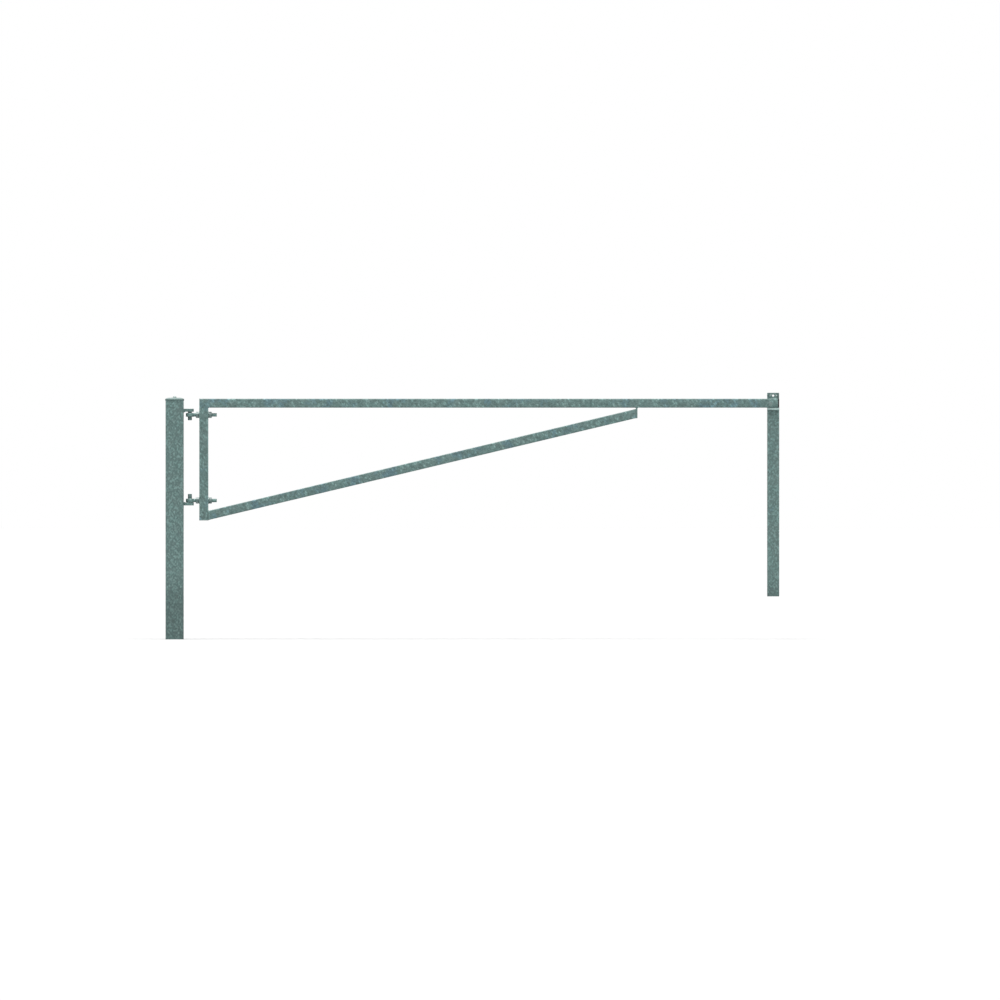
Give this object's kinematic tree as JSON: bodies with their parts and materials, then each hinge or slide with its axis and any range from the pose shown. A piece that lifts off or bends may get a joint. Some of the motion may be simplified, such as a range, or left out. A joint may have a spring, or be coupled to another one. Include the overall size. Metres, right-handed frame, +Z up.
{
  "type": "manual swing barrier",
  "caption": "Manual swing barrier: a braced square-tube arm turns on opposed hinge pins and its tip rests on the drilled, padlockable catch of a receiving post.",
  "frame": {"origin": "centre of the hinge post's foot, at the bottom of its buried length", "axes": "+X from the hinge post to the receiving post, along the closed arm; +Y away from the side that the arm opens to; +Z up"},
  "size_m": [4.1028, 0.1299, 1.648],
  "materials": {
    "galvanised_post": "hot-dip galvanised, matt grey-green with fine spangle, duller towards the foot",
    "galvanised_arm": "hot-dip galvanised, matt grey-green with broad mottled spangle",
    "galvanised_fitting": "hot-dip galvanised plate and forgings, finer grain and worn bright where they rub",
    "zinc_fasteners": "zinc coated, slightly brighter than the tubes",
    "black_plastic": "moulded black plastic, satin"
  },
  "bodies": {
    "posts": {"hinge_post": "galvanised_post", "hinge_post_cap": "galvanised_post", "upper_hinge_lug": "galvanised_fitting", "upper_hinge_pin": "galvanised_fitting", "lower_hinge_lug": "galvanised_fitting", "lower_hinge_pin": "galvanised_fitting", "receiver_post": "galvanised_post", "receiver_shelf": "galvanised_fitting", "receiver_back_plate": "galvanised_fitting"},
    "arm": {"heel_upright": "galvanised_arm", "heel_foot_plate": "galvanised_arm", "top_beam": "galvanised_arm", "brace_tube": "galvanised_arm", "brace_end_plate": "galvanised_arm", "beam_end_cap": "black_plastic", "lock_tab": "galvanised_fitting", "upper_eye_bolt": "galvanised_fitting", "lower_eye_bolt": "galvanised_fitting", "upper_inner_nut": "zinc_fasteners", "upper_inner_washer": "zinc_fasteners", "upper_outer_washer": "zinc_fasteners", "upper_outer_nut": "zinc_fasteners", "upper_bolt_sleeve": "zinc_fasteners", "lower_inner_nut": "zinc_fasteners", "lower_inner_washer": "zinc_fasteners", "lower_outer_washer": "zinc_fasteners", "lower_outer_nut": "zinc_fasteners", "lower_bolt_sleeve": "zinc_fasteners"}
  },
  "joints": [
    {"name": "arm_swing", "type": "hinge", "parent": "posts", "child": "arm", "pos_m": [0.102, 0, 1.214], "axis": [0, 0, -1], "range_deg": [0, 100]}
  ]
}
